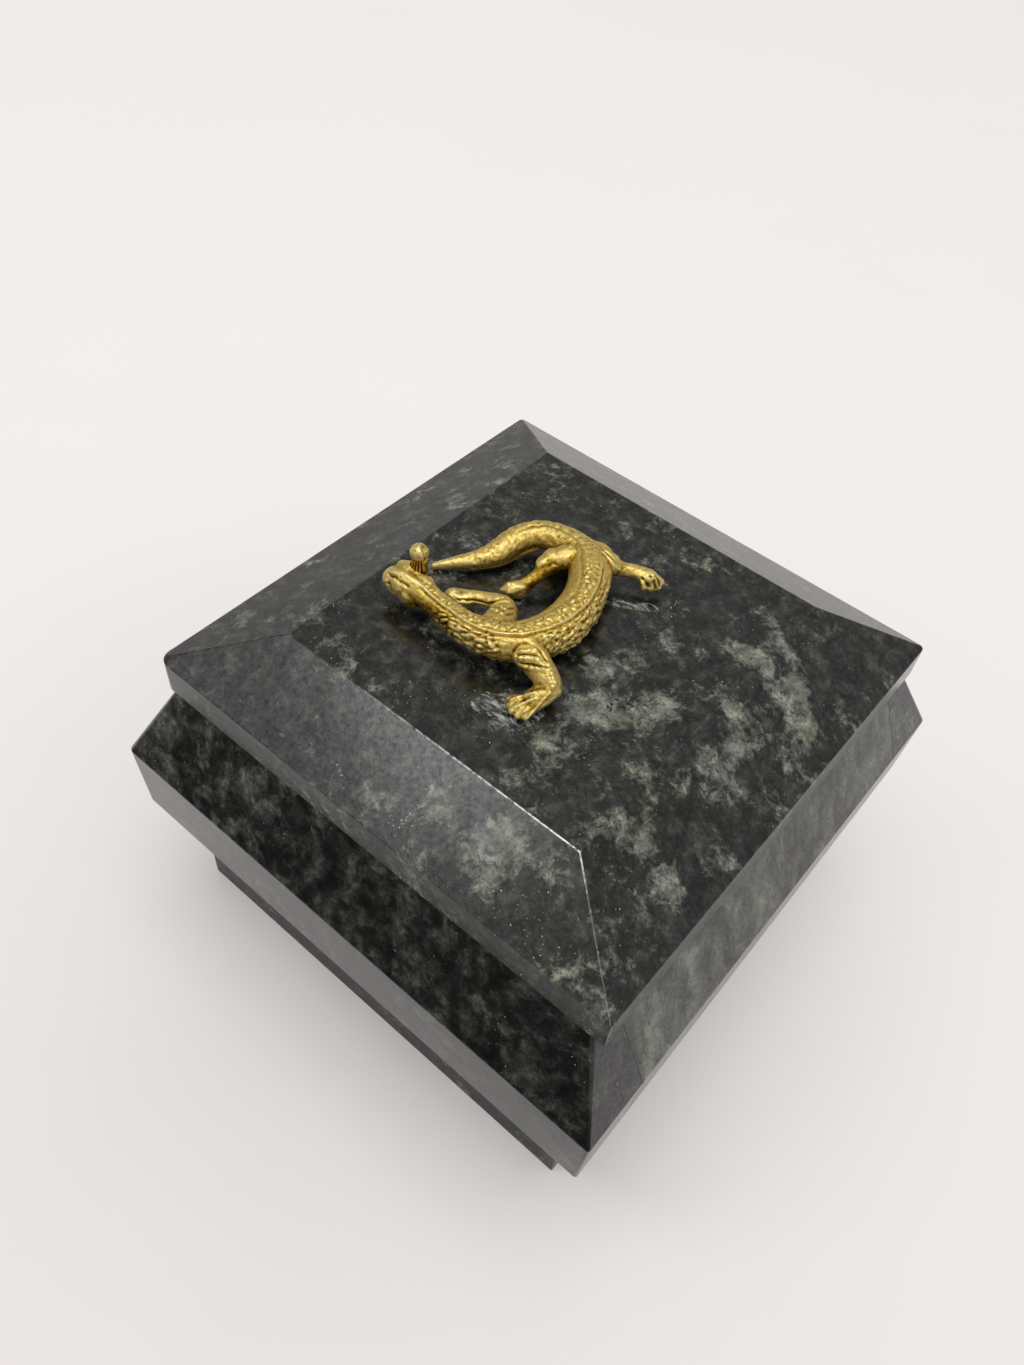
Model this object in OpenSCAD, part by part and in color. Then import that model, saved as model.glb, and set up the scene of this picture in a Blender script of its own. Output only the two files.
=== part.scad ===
// Stone keepsake box with a hipped lift-off lid and a cast metal lizard on top.
// Frame: +Z up, origin at the middle of the base plate's underside, millimetres.
// The front wall faces -Y and the right wall faces +X.

/* [Base plate] */
// Thickness of the base plate
plinth_t = 10; // [6:0.5:16]
// How far the base plate stands back from the walls' lower edge
plinth_inset = 1.1; // [0:0.1:3]

/* [Walls] */
// Widest width of the body, at its upright band
body_x = 100.5; // [90:0.5:130]
// Widest depth of the body, at its upright band
body_y = 104; // [90:0.5:130]
// Thickness of the wall slabs, measured at the upright band
wall_t = 12.6; // [12:0.1:16]
// Height of the sloped face below the band
foot_h = 16.8; // [8:0.1:24]
// How far the face below the band leans in
foot_lean = 5; // [2:0.1:7]
// Height of the upright band
band_h = 14.8; // [6:0.1:20]
// How far the band leans in from its upper to its lower edge
band_lean = 0.6; // [0:0.1:1.5]
// Height of the sloped face above the band
shoulder_h = 15.3; // [8:0.1:24]
// How far the face above the band leans in
shoulder_lean = 7.2; // [3:0.1:9]
// Thickness of the glue line between two walls
seam_t = 0.2; // [0.1:0.05:0.4]

/* [Lid] */
// How far the lid stands out past the left and right walls' top edges
lip_x = 2; // [0:0.1:4]
// How far the lid stands out past the front and back walls' top edges
lip_y = 0.2; // [0:0.1:4]
// Height of the lid's upright rim
rim_h = 6.3; // [3:0.1:10]
// Height of the lid's sloped faces
hip_h = 7.8; // [4:0.1:12]
// Width of the lid's left and right sloped faces, seen from above
hip_x = 16.6; // [8:0.1:18]
// Width of the lid's front and back sloped faces, seen from above
hip_y = 13.3; // [8:0.1:16]
// Thickness of the plate under the lid that fits between the walls
locator_t = 5; // [2:0.1:8]
// Gap between that plate and each wall
locator_gap = 0.6; // [0.3:0.1:1.5]

/* [Lizard] */
// Half width of the lizard's trunk at its middle
trunk_r = 3.5; // [3:0.1:4]
// Half width of the neck
neck_r = 2; // [1.6:0.1:2.4]
// Half width of the head across the cheeks
head_r = 2.7; // [2.2:0.1:3.2]
// Half width of the tail's tip
tail_tip_r = 0.7; // [0.5:0.1:1]
// Half width of the legs at the ankle
ankle_r = 1.2; // [0.9:0.1:1.5]
// Half thickness of a toe at its root
toe_r = 0.75; // [0.5:0.05:0.9]
// Height of the ribbed crest on the head
crest_h = 5; // [3:0.1:6]
// Half width of the crest
crest_r = 1.7; // [1.2:0.1:2.2]
// Ribs round the crest
crest_ribs = 9; // [6:1:12]
// Thickness of the glue under the lizard
glue_t = 0.3; // [0.2:0.05:0.5]

/* [Hidden] */

stone = "#3c4038";
pale_stone = "#4a4d47";
bronze = "#b4933c";
glue = "#c9c9c2";

// Heights of the edges, from the table up
wall_z = plinth_t;
band_z = wall_z + foot_h;
shoulder_z = band_z + band_h;
rim_z = shoulder_z + shoulder_h;
hip_z = rim_z + rim_h;
flat_z = hip_z + hip_h;
wall_h = rim_z - wall_z;

// Inside of the walls
cavity_x = body_x - 2 * wall_t;
cavity_y = body_y - 2 * wall_t;

// Plan sizes that follow the walls
foot_in = band_lean + foot_lean;
plinth_x = body_x - 2 * (foot_in + plinth_inset);
plinth_y = body_y - 2 * (foot_in + plinth_inset);
lid_x = body_x - 2 * (shoulder_lean - lip_x);
lid_y = body_y - 2 * (shoulder_lean - lip_y);

// The lizard lies on the lid's flat top. Its points are [x, y, height above the flat, half width, half height],
// with x and y from the middle of the lid.
trunk_h = 4.5;
spine = [
    [-24.0, -14.4, 3.9, 0.55 * head_r, 0.40 * head_r],
    [-23.0, -14.4, 4.1, 0.80 * head_r, 0.75 * head_r],
    [-20.2, -14.4, 4.5, head_r, 0.95 * head_r],
    [-17.5, -14.2, 4.7, 0.90 * head_r, 0.85 * head_r],
    [-14.5, -14.4, 4.6, neck_r, neck_r],
    [-10.0, -14.8, trunk_h, 1.10 * neck_r, 1.10 * neck_r],
    [-5.5, -14.8, trunk_h, 0.75 * trunk_r, 0.75 * trunk_r],
    [0.0, -12.4, trunk_h, 0.90 * trunk_r, 0.85 * trunk_r],
    [2.9, -7.0, trunk_h, trunk_r, 0.95 * trunk_r],
    [3.0, -1.4, trunk_h, trunk_r, 0.95 * trunk_r],
    [1.4, 3.8, trunk_h, 0.95 * trunk_r, 0.95 * trunk_r],
    [-2.0, 9.0, trunk_h, trunk_r, 0.90 * trunk_r],
    [-7.5, 10.8, 4.3, 0.75 * trunk_r, 0.75 * trunk_r],
    [-12.5, 9.8, 4.0, 0.70 * trunk_r, 0.60 * trunk_r],
    [-15.2, 6.6, 3.5, 0.65 * trunk_r, 0.60 * trunk_r],
    [-16.2, 2.2, 2.9, 0.50 * trunk_r, 0.50 * trunk_r],
    [-17.9, -0.8, 2.2, 2.0 * tail_tip_r, 2.0 * tail_tip_r],
    [-20.4, -3.6, 1.5, 1.5 * tail_tip_r, 1.5 * tail_tip_r],
    [-22.0, -5.6, 0.9, tail_tip_r, tail_tip_r]
];
front_right_leg = [
    [1.5, -12.0, 4.9, 2.2 * ankle_r, 2.2 * ankle_r],
    [5.5, -13.2, 4.4, 1.9 * ankle_r, 1.8 * ankle_r],
    [9.0, -14.2, 3.4, 1.4 * ankle_r, 1.4 * ankle_r],
    [8.7, -16.0, 2.4, 1.2 * ankle_r, 1.2 * ankle_r],
    [7.6, -17.6, 1.6, ankle_r, ankle_r]
];
front_left_leg = [
    [-2.5, -11.5, 4.6, 2.0 * ankle_r, 2.0 * ankle_r],
    [-5.0, -9.0, 4.0, 1.5 * ankle_r, 1.5 * ankle_r],
    [-7.8, -6.2, 3.0, 1.3 * ankle_r, 1.2 * ankle_r],
    [-11.2, -6.8, 2.4, 0.9 * ankle_r, 0.9 * ankle_r],
    [-14.4, -8.0, 1.6, ankle_r, ankle_r]
];
hind_right_leg = [
    [-2.0, 9.8, 4.6, 2.2 * ankle_r, 2.0 * ankle_r],
    [0.5, 12.0, 4.0, 1.5 * ankle_r, 1.5 * ankle_r],
    [2.7, 13.2, 3.4, ankle_r, ankle_r],
    [5.0, 14.4, 3.2, 1.4 * ankle_r, 1.2 * ankle_r],
    [6.8, 14.6, 3.0, 1.4 * ankle_r, 1.1 * ankle_r]
];
hind_left_leg = [
    [-4.0, 9.8, 4.8, 2.0 * ankle_r, 2.0 * ankle_r],
    [-6.2, 7.2, 4.8, 1.5 * ankle_r, 1.5 * ankle_r],
    [-7.0, 4.4, 3.8, ankle_r, ankle_r],
    [-7.6, 1.6, 2.6, 0.8 * ankle_r, 0.8 * ankle_r],
    [-8.2, -0.6, 1.8, ankle_r, ankle_r]
];
// Toe tips of each foot, above the flat
front_right_toes = [[5.0, -18.7, 1.0], [6.6, -19.5, 1.0], [8.0, -19.6, 1.0], [8.8, -18.6, 1.0]];
front_left_toes = [[-16.2, -7.4, 1.0], [-16.0, -8.8, 1.0], [-14.8, -9.6, 1.0]];
hind_right_toes = [[8.8, 13.6, 2.6], [8.2, 12.6, 2.4], [6.8, 12.4, 2.4]];
hind_left_toes = [[-9.6, -2.4, 1.0], [-8.2, -3.0, 1.0], [-6.8, -2.4, 1.0]];
crest_at = [-18.6, -12.8, 6.4];
// Glue spots on the flat: [x, y, radius]
glue_spots = [
    [7.0, -18.4, 3.2], [9.4, -20.4, 2.2], [-15.0, -8.2, 1.8], [-8.2, -1.4, 2.0],
    [-21.6, -5.2, 1.4], [6.2, 13.4, 2.0], [8.4, 14.0, 1.4]
];

// Rings and steps of the lizard's swept shapes
trunk_sides = 12;
leg_sides = 10;
trunk_steps = 3;
leg_steps = 2;
toe_sides = 10;
rib_sides = 6;

// A point at share t between points i and i + 1 of a smooth curve through all the points
function between(p, i, t) =
    let (a = p[max(i - 1, 0)], b = p[i], c = p[i + 1], d = p[min(i + 2, len(p) - 1)])
    0.5 * (2 * b + (c - a) * t + (2 * a - 5 * b + 4 * c - d) * t * t + (3 * b - a - 3 * c + d) * t * t * t);
function smooth(p, steps) = concat(
    [for (i = [0:len(p) - 2]) for (k = [0:steps - 1]) between(p, i, k / steps)],
    [p[len(p) - 1]]
);
function place(q) = [q[0], q[1], q[2]];
function heading(r, i) =
    let (d = place(r[min(i + 1, len(r) - 1)]) - place(r[max(i - 1, 0)]))
    d / norm(d);
// One ring of a sweep, upright and square to its route
function ring(r, i, sides) =
    let (t = heading(r, i), s0 = cross(t, [0, 0, 1]), s = s0 / norm(s0), u = cross(s, t))
    [for (k = [0:sides - 1]) place(r[i]) + r[i][3] * cos(360 * k / sides) * s + r[i][4] * sin(360 * k / sides) * u];

// A closed tube along a route of points with half widths and half heights
module sweep(route, sides, steps) {
    r = smooth(route, steps);
    last = len(r) - 1;
    points = [for (i = [0:last]) for (q = ring(r, i, sides)) q];
    walls = [
        for (i = [0:last - 1]) for (k = [0:sides - 1])
            let (a = i * sides + k, b = i * sides + (k + 1) % sides)
            each [[a, b, b + sides], [a, b + sides, a + sides]]
    ];
    start = [for (k = [sides - 1:-1:0]) k];
    end = [for (k = [0:sides - 1]) last * sides + k];
    polyhedron(points, concat([start], walls, [end]));
}

// A block whose outline seen from the front is one half profile, mirrored, and seen from the side another.
// Each profile lists [half size, height] from the bottom up.
module hipped(front, side) {
    reach = 2 * (body_x + body_y);
    intersection() {
        rotate([90, 0, 0]) linear_extrude(reach, center = true) mirrored(front);
        rotate([90, 0, 90]) linear_extrude(reach, center = true) mirrored(side);
    }
}
module mirrored(half) {
    polygon(concat(half, [for (i = [len(half) - 1:-1:0]) [-half[i][0], half[i][1]]]));
}

// Outside of the four walls together
function wall_profile(size) = [
    [size / 2 - foot_in, wall_z],
    [size / 2 - band_lean, band_z],
    [size / 2, shoulder_z],
    [size / 2 - shoulder_lean, rim_z]
];
module walls() {
    hipped(wall_profile(body_x), wall_profile(body_y));
}
// Upright block between two corners in plan, as high as the walls
module slab(low, high) {
    translate([low[0], low[1], wall_z]) cube([high[0] - low[0], high[1] - low[1], wall_h]);
}
module long_wall() {
    intersection() {
        walls();
        slab([-body_x / 2, cavity_y / 2], [body_x / 2, body_y / 2]);
    }
}
module short_wall() {
    half = cavity_y / 2 - seam_t;
    intersection() {
        walls();
        slab([cavity_x / 2, -half], [body_x / 2, half]);
    }
}
module seam() {
    intersection() {
        walls();
        slab([cavity_x / 2, cavity_y / 2 - seam_t], [body_x / 2, cavity_y / 2]);
    }
}

module base_plate() {
    color(stone) translate([-plinth_x / 2, -plinth_y / 2, 0]) cube([plinth_x, plinth_y, plinth_t]);
}
module wall_back() {
    color(stone) long_wall();
}
module wall_front() {
    color(stone) mirror([0, 1, 0]) long_wall();
}
module wall_right() {
    color(pale_stone) short_wall();
}
module wall_left() {
    color(pale_stone) mirror([1, 0, 0]) short_wall();
}
module wall_seams() {
    color(glue) for (x = [0, 1]) for (y = [0, 1]) mirror([x, 0, 0]) mirror([0, y, 0]) seam();
}
module lid_slab() {
    color(stone) hipped(
        [[lid_x / 2, rim_z], [lid_x / 2, hip_z], [lid_x / 2 - hip_x, flat_z]],
        [[lid_y / 2, rim_z], [lid_y / 2, hip_z], [lid_y / 2 - hip_y, flat_z]]
    );
}
module lid_locating_plate() {
    x = cavity_x - 2 * locator_gap;
    y = cavity_y - 2 * locator_gap;
    color(stone) translate([-x / 2, -y / 2, rim_z - locator_t]) cube([x, y, locator_t]);
}

// Toes from the end of a leg to each tip
module toes(leg, tips) {
    root = place(leg[len(leg) - 1]);
    for (tip = tips) hull() {
        translate(root) sphere(1.2 * toe_r, $fn = toe_sides);
        translate(tip) sphere(toe_r, $fn = toe_sides);
    }
}
// A ribbed dome on a narrower stalk
module crest() {
    stalk_r = 0.7 * crest_r;
    dome_r = 0.95 * crest_r;
    dome_z = crest_h - dome_r;
    rib_r = 1.6 * crest_r / crest_ribs;
    translate(crest_at) {
        sphere(stalk_r, $fn = leg_sides);
        cylinder(dome_z, stalk_r, stalk_r, $fn = leg_sides);
        translate([0, 0, dome_z]) sphere(dome_r, $fn = trunk_sides);
        for (k = [0:crest_ribs - 1]) rotate(360 * k / crest_ribs) hull() {
            translate([stalk_r, 0, 0]) sphere(rib_r, $fn = rib_sides);
            translate([crest_r - rib_r, 0, dome_z]) sphere(rib_r, $fn = rib_sides);
        }
    }
}
module lizard() {
    reach = lid_x + lid_y;
    color(bronze) translate([0, 0, flat_z]) intersection() {
        union() {
            sweep(spine, trunk_sides, trunk_steps);
            for (leg = [front_right_leg, front_left_leg, hind_right_leg, hind_left_leg])
                sweep(leg, leg_sides, leg_steps);
            toes(front_right_leg, front_right_toes);
            toes(front_left_leg, front_left_toes);
            toes(hind_right_leg, hind_right_toes);
            toes(hind_left_leg, hind_left_toes);
            crest();
        }
        // The feet are flat where they sit on the glue
        translate([-reach / 2, -reach / 2, glue_t]) cube(reach);
    }
}
module lizard_glue() {
    color(glue) for (s = glue_spots) translate([s[0], s[1], flat_z]) cylinder(glue_t, s[2], s[2], $fn = 32);
}

base_plate();
wall_front();
wall_back();
wall_left();
wall_right();
wall_seams();
lid_slab();
lid_locating_plate();
lizard();
lizard_glue();
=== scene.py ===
"""Looks of the stone keepsake box: polished serpentine slabs, glue lines and a cast brass lizard."""

import math
from functools import partial

import bmesh
import bpy
import numpy as np
from mathutils import Euler, Matrix, Vector, noise
from mathutils.geometry import intersect_point_line


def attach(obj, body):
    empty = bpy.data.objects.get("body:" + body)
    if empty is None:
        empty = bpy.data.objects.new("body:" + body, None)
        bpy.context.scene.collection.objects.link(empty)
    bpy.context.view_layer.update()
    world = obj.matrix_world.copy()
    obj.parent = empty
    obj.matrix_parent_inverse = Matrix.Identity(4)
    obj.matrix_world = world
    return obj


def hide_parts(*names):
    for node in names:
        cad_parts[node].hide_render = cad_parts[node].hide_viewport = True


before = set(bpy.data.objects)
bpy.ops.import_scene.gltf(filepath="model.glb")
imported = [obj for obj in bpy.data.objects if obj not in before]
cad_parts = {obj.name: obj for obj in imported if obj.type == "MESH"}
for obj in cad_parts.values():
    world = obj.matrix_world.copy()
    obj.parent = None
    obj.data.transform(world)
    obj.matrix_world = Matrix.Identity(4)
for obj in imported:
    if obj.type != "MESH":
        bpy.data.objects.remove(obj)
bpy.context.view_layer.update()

MM = 0.001

# Places on the box that the pieces share, in millimetres
FLAT_Z = 71.0
GLUE_T = 0.3
SEAM_INNER = 39.2
SEAM_OUTER = 39.4
# How near two places count as one: along the slabs, at a cut, and when a copy of a solid is merged
SAME = 0.02
CUT_NEAR = 1e-4
MERGE_NEAR = 0.005


def linear(code):
    """Linear colour of an sRGB hex value."""
    parts = [int(code[i:i + 2], 16) / 255 for i in (1, 3, 5)]
    return [p / 12.92 if p <= 0.04045 else ((p + 0.055) / 1.055) ** 2.4 for p in parts] + [1.0]


def add(tree, kind, sockets=None, stops=None, span=(), **settings):
    """One shader node: its settings, its sockets, a ramp's stops, and a range's ends before and after.

    A socket takes a value, an output to link, or a node, whose first output in use is then linked.
    """
    node = tree.nodes.new("ShaderNode" + kind)
    for name, value in settings.items():
        setattr(node, name, value)
    for key, value in (sockets or {}).items():
        if isinstance(value, bpy.types.Node):
            value = next(output for output in value.outputs if output.enabled)
        if isinstance(value, bpy.types.NodeSocket):
            tree.links.new(value, node.inputs[key])
        else:
            node.inputs[key].default_value = value
    for key, value in zip(("From Min", "From Max", "To Min", "To Max"), span):
        node.inputs[key].default_value = value
    if stops:
        marks = node.color_ramp.elements
        while len(marks) < len(stops):
            marks.new(0.5)
        for mark, (place, code) in zip(marks, stops):
            mark.position = place
            mark.color = linear(code)
    return node


def new_material(surface, suffix="", **look):
    """A node material, named for the function that draws its surface from the Object coordinates."""
    material = bpy.data.materials.new(surface.__name__ + suffix)
    material.use_nodes = True
    material.node_tree.nodes.clear()
    draw = partial(add, material.node_tree)
    coords = draw("TexCoord").outputs["Object"]
    draw("OutputMaterial", {"Surface": surface(draw, coords, **look)})
    return material


def new_object(name, bm):
    """Puts a mesh into the scene."""
    mesh = bpy.data.meshes.new(name)
    bm.to_mesh(mesh)
    bm.free()
    made = bpy.data.objects.new(name, mesh)
    bpy.context.scene.collection.objects.link(made)
    return made


def new_piece(name, bm, material, body, nodes):
    """A piece from a mesh in millimetres, put in metres, that rides on its body in place of CAD nodes."""
    bmesh.ops.scale(bm, vec=(MM, MM, MM), verts=bm.verts)
    piece = new_object(name, bm)
    piece.data.materials.append(material)
    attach(piece, body)
    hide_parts(*nodes)


# Stone

SLAB_ARRIS = 0.18
CRISP_ARRIS = 0.13
ARRIS_STEPS = 4
CORNER_STEPS = 9
SHARP_ANGLE = math.radians(12)
FLAT_ANGLE = math.radians(0.5)
# An edge counts as upright when it rises by this share of its length
UPRIGHT = 0.6
CLOUD_MESH = 1.5
# How pale an arris is rubbed away from the stretches with a painted highlight, and how near it has to be to
# one of them
ARRIS_WEAR = 0.03
HIGHLIGHT_REACH = 0.4
# The larger pale clouds on the lid: x, y, half width
LID_CLOUDS = [
    [10.4, -3.2, 2.4], [13.0, -13.0, 3.0], [15.4, -8.8, 3.0], [19.4, -7.4, 3.6], [21.9, -2.4, 3.0],
    [15.2, 7.8, 2.4], [14.3, 2.2, 2.2], [23.5, 14.5, 2.8], [27.6, 14.4, 2.6], [23.7, 24.5, 2.8],
    [29.8, 20.6, 2.8], [34.2, 15.4, 3.4], [38.7, 12.7, 2.4], [30.8, 3.5, 2.4], [33.8, 1.9, 2.6],
    [25.7, -16.0, 2.4], [14.0, -29.3, 2.2], [12.5, -21.3, 2.2], [34.4, -5.8, 2.6], [32.3, -12.7, 1.9],
    [28.3, -23.2, 2.3], [33.3, -22.3, 2.2], [39.1, -24.8, 2.2], [43.0, -14.5, 2.2], [20.2, -36.8, 3.7],
    [18.6, -39.8, 3.2], [17.2, -36.9, 2.6], [0.3, -41.0, 2.0], [7.0, -37.7, 2.6], [-11.5, -30.2, 1.9],
    [-31.8, 10.1, 1.8], [-30.1, 20.2, 1.6], [8.3, 27.5, 2.4], [35.8, -42.0, 2.2],
]
# Where the lid has fewer clouds: x, y, half width, and how many fewer
LID_CLEARINGS = [
    [-22.5, -21.0, 6.0], [-14.0, -24.0, 4.0], [-30.0, -38.0, 7.0], [-40.0, -40.0, 5.0], [-15.0, -38.0, 5.0],
    [-5.0, -37.0, 4.0], [12.5, -33.5, 2.5], [23.5, -33.0, 2.5], [26.0, -44.0, 2.5], [38.0, 31.0, 6.0],
    [42.0, 40.0, 4.0],
]
CLEARING = 0.4
# Where pale grains swarm on the lid, and where rusty flecks show in a cloud: x, y, half width
# The last two swarms lie on the front bevel, where the pale grains also stand for painted glints of the lamp
LID_SWARMS = [
    [-1.8, -18.2, 3.0], [3.0, -20.5, 3.5], [9.0, -21.5, 3.0], [24.0, -42.0, 5.0], [31.0, -41.0, 4.0],
]
LID_RUST = [[16.0, -9.0, 1.2], [17.4, -7.9, 1.2], [18.2, -6.4, 1.2], [18.0, -5.0, 1.0]]
# Upright corners as they were ground: side along x, side along y, radius
LID_CORNERS = [(-1, -1, 2.2), (1, -1, 0.4), (1, 1, 1.0), (-1, 1, 1.0)]
FRONT_CORNERS = [(-1, -1, 1.3), (1, -1, 0.5)]
BACK_CORNERS = [(-1, 1, 1.0), (1, 1, 0.9)]
# Half of the front wall's length
BODY_HALF = 50.25
# Stretches of the lid's arrises with a painted highlight, paler than the rubbing elsewhere: the two ends, and
# how much at each
HIGHLIGHT_EDGES = [
    [(-14.0, -31.7, FLAT_Z), (8.0, -31.7, FLAT_Z), 0.1, 0.6],
    [(8.0, -31.7, FLAT_Z), (28.4, -31.7, FLAT_Z), 0.6, 1.0],
    [(28.4, -31.7, FLAT_Z), (33.0, -35.4, 68.8), 0.9, 0.1],
]
# What the slabs' meshes may mark for their stone
STONE_MARKS = ["cloud_bank", "rusty_flecks", "grain_swarm", "arris"]
# Fine noise in the stone by what it draws: size in millimetres, detail, roughness
STONE_GRAIN = {
    "crystals": (0.45, 2.0, 0.6),
    "flecks": (0.7, 2.0, 0.6),
    "rust": (0.8, 2.0, 0.6),
    "glints": (0.42, 2.0, 0.7),
    "swarms": (7.0, 2.0, 0.5),
    "chips": (0.8, 4.0, 0.7),
    "polish": (0.8, 4.0, 0.75),
}


def dragged(draw, place, size, detail, reach):
    """A place pulled about in swirls of a size, both in millimetres."""
    swirl = draw("TexNoise", {"Vector": place, "Scale": 1 / size, "Detail": detail})
    drag = draw("VectorMath", {0: swirl.outputs["Color"], 1: (0.5, 0.5, 0.5)}, operation="SUBTRACT")
    pull = draw("VectorMath", {0: drag, "Scale": reach}, operation="SCALE")
    return draw("VectorMath", {0: place, 1: pull}, operation="ADD")


def stirred(draw, place, size, detail, weight, level):
    """A level with noise of a size in millimetres added to it."""
    grains = draw("TexNoise", {"Vector": place, "Scale": 1 / size, "Detail": detail, "Roughness": 0.6})
    middle = draw("Math", {0: grains, 1: 0.5}, operation="SUBTRACT")
    return draw("Math", {0: middle, 1: weight, 2: level}, operation="MULTIPLY_ADD")


def polished_serpentine(draw, coords, shift, turn=(0, 0, 0), stretch=(1, 1, 1), sparse=0.0, gloss=0.5,
                        soft=0.5, faint=0.0, moss="#e4ebdf"):
    """Sawn and polished serpentine: nearly black, with mossy grey-green clouds, dark flecks and pale grains.

    Each slab is cut from its own stretch of the block. The polish leaves a mirror that is a little blurred,
    so the faces pick up the pale room at flat angles. The arrises are rubbed by hand; along stretches of the
    lid's front arris the pale is a painted highlight.
    """
    fine = draw("Mapping", {
        "Vector": coords, "Location": shift, "Rotation": turn, "Scale": (1 / MM, 1 / MM, 1 / MM),
    })
    here = draw("VectorMath", {0: fine, 1: stretch}, operation="MULTIPLY")
    bank, rusty, flock, arris = [
        draw("Attribute", attribute_name=mark).outputs["Fac"] for mark in STONE_MARKS
    ]
    grain = {
        use: draw("TexNoise", {"Vector": fine, "Scale": 1 / size, "Detail": detail, "Roughness": tooth})
        for use, (size, detail, tooth) in STONE_GRAIN.items()
    }
    # The dark ground, mottled over 1 to 3 mm
    bent = dragged(draw, here, 4.0, 3.0, 3.0)
    torn = dragged(draw, bent, 1.6, 3.0, 0.9)
    veiled = stirred(draw, torn, 2.6, 5.0, 1.0, 0.5)
    ground = draw("ValToRGB", {"Fac": veiled}, stops=[
        (0.34, "#101110"), (0.46, "#1f201f"), (0.56, "#333532"), (0.70, "#545750"),
    ])
    # Clouds of 3 to 8 mm with ragged edges, gathered in banks of 20 mm, and where a slab's mesh says so
    banks = draw("TexNoise", {"Vector": here, "Scale": 1 / 20, "Detail": 1.0})
    thick = draw("MapRange", {"Value": banks}, span=(0.3, 0.7, 0.45 - sparse, 0.55 - sparse))
    gather = draw("Math", {0: bank, 1: 0.23, 2: thick}, operation="MULTIPLY_ADD")
    cover = stirred(draw, torn, 5.0, 3.0, 0.75, gather)
    frayed = stirred(draw, torn, 1.3, 3.0, 0.42 - 0.2 * soft, cover)
    ragged = stirred(draw, bent, 0.4, 2.0, 0.3 - 0.2 * soft, frayed)
    cloud = draw("MapRange", {"Value": ragged}, span=(
        0.52 - 0.05 * soft, 0.66 + 0.08 * soft, 0.0, 1 - faint,
    ))
    pale = draw("ValToRGB", {"Fac": veiled}, stops=[
        (0.36, "#61645c"), (0.52, "#83867c"), (0.64, "#a3a69b"),
    ])
    body = draw("Mix", {0: cloud, 6: ground, 7: pale}, data_type="RGBA")
    # Dark hair cracks of about 0.15 mm, mostly in the clouds
    strain = draw("TexNoise", {"Vector": torn, "Scale": 1 / 4.5, "Detail": 4.0, "Roughness": 0.55})
    middle = draw("Math", {0: strain, 1: 0.5}, operation="SUBTRACT")
    apart = draw("Math", {0: middle}, operation="ABSOLUTE")
    crack = draw("MapRange", {"Value": apart}, span=(0.0, 0.012, 0.55, 0.0))
    cracked = draw("Mix", {0: crack, 6: body, 7: linear("#1c1d1c")}, data_type="RGBA")
    # Some clouds are grey and some greener, over 9 mm
    tint = draw("TexNoise", {"Vector": here, "Scale": 1 / 9, "Detail": 1.0})
    hue = draw("ValToRGB", {"Fac": tint}, stops=[(0.42, "#ebebea"), (0.66, moss)])
    tinted = draw("Mix", {0: 1.0, 6: cracked, 7: hue}, data_type="RGBA", blend_type="MULTIPLY")
    # Crystals of about 0.4 mm, lighter and darker
    sparkle = draw("MapRange", {"Value": grain["crystals"]}, span=(0.35, 0.65, 0.75, 1.28))
    crystalline = draw("VectorMath", {0: tinted, "Scale": sparkle}, operation="SCALE")
    # Dark flecks of 0.3 mm in the clouds
    fleck = draw("MapRange", {"Value": grain["flecks"]}, span=(0.61, 0.71, 0.0, 0.85))
    flecked = draw("Mix", {0: fleck, 6: crystalline, 7: linear("#191a19")}, data_type="RGBA")
    # Rusty flecks of about 0.4 mm, at marked places alone
    rusted = draw("Math", {0: rusty, 1: 0.45, 2: grain["rust"]}, operation="MULTIPLY_ADD")
    stain = draw("MapRange", {"Value": rusted}, span=(0.83, 0.85))
    ochre = draw("ValToRGB", {"Fac": rusted}, stops=[(0.85, "#54412c"), (0.91, "#0d0a08")])
    stained = draw("Mix", {0: stain, 6: flecked, 7: ochre}, data_type="RGBA")
    # Pale ragged grains of about 0.2 mm, in loose swarms; in the swarms on the lid's front bevel they are
    # painted glints of the lamp as well
    loose = draw("Math", {0: grain["swarms"], 1: 0.4, 2: grain["glints"]}, operation="MULTIPLY_ADD")
    crowd = draw("Math", {0: flock, 1: 0.035, 2: loose}, operation="MULTIPLY_ADD")
    glint = draw("MapRange", {"Value": crowd}, span=(0.955, 0.985))
    grained = draw("Mix", {0: glint, 6: stained, 7: linear("#cfd0cb")}, data_type="RGBA")
    # Arrises rubbed pale, and a painted highlight along stretches of the lid's front arris
    worn = draw("MapRange", {"Value": grain["chips"]}, span=(0.36, 0.56))
    pale_rub_and_highlight = draw("Math", {0: worn, 1: arris}, operation="MULTIPLY")
    edged = draw("Mix", {0: pale_rub_and_highlight, 6: grained, 7: linear("#f7f7f4")}, data_type="RGBA")
    # The clouds are softer and take less polish than the ground
    rough = draw("Math", {0: cloud, 1: 0.12, 2: 0.20}, operation="MULTIPLY_ADD")
    # The polish takes better on some grains than on others, and they stand out by hundredths of a millimetre
    polish = draw("MapRange", {"Value": grain["polish"]}, span=(0.34, 0.66, 0.6 * gloss, 1.4 * gloss))
    bump = draw("Bump", {"Height": grain["polish"], "Strength": 0.12, "Distance": 0.04 * MM})
    shader = draw("BsdfPrincipled", {
        "Base Color": edged, "Roughness": rough, "Normal": bump, "Specular IOR Level": polish, "IOR": 1.55,
    })
    # The mean polish, for a reader that takes no map here
    shader.inputs["Specular IOR Level"].default_value = gloss
    return shader


def dark_set_glue(draw, coords):
    """Stone glue coloured with dark powder: nearly black, dull, a little uneven along the line."""
    lumps = draw("TexNoise", {"Vector": coords, "Scale": 1 / (1.5 * MM), "Detail": 3.0})
    tone = draw("ValToRGB", {"Fac": lumps}, stops=[(0.35, "#111211"), (0.65, "#262725")])
    return draw("BsdfPrincipled", {"Base Color": tone, "Roughness": 0.45, "IOR": 1.5})


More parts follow.
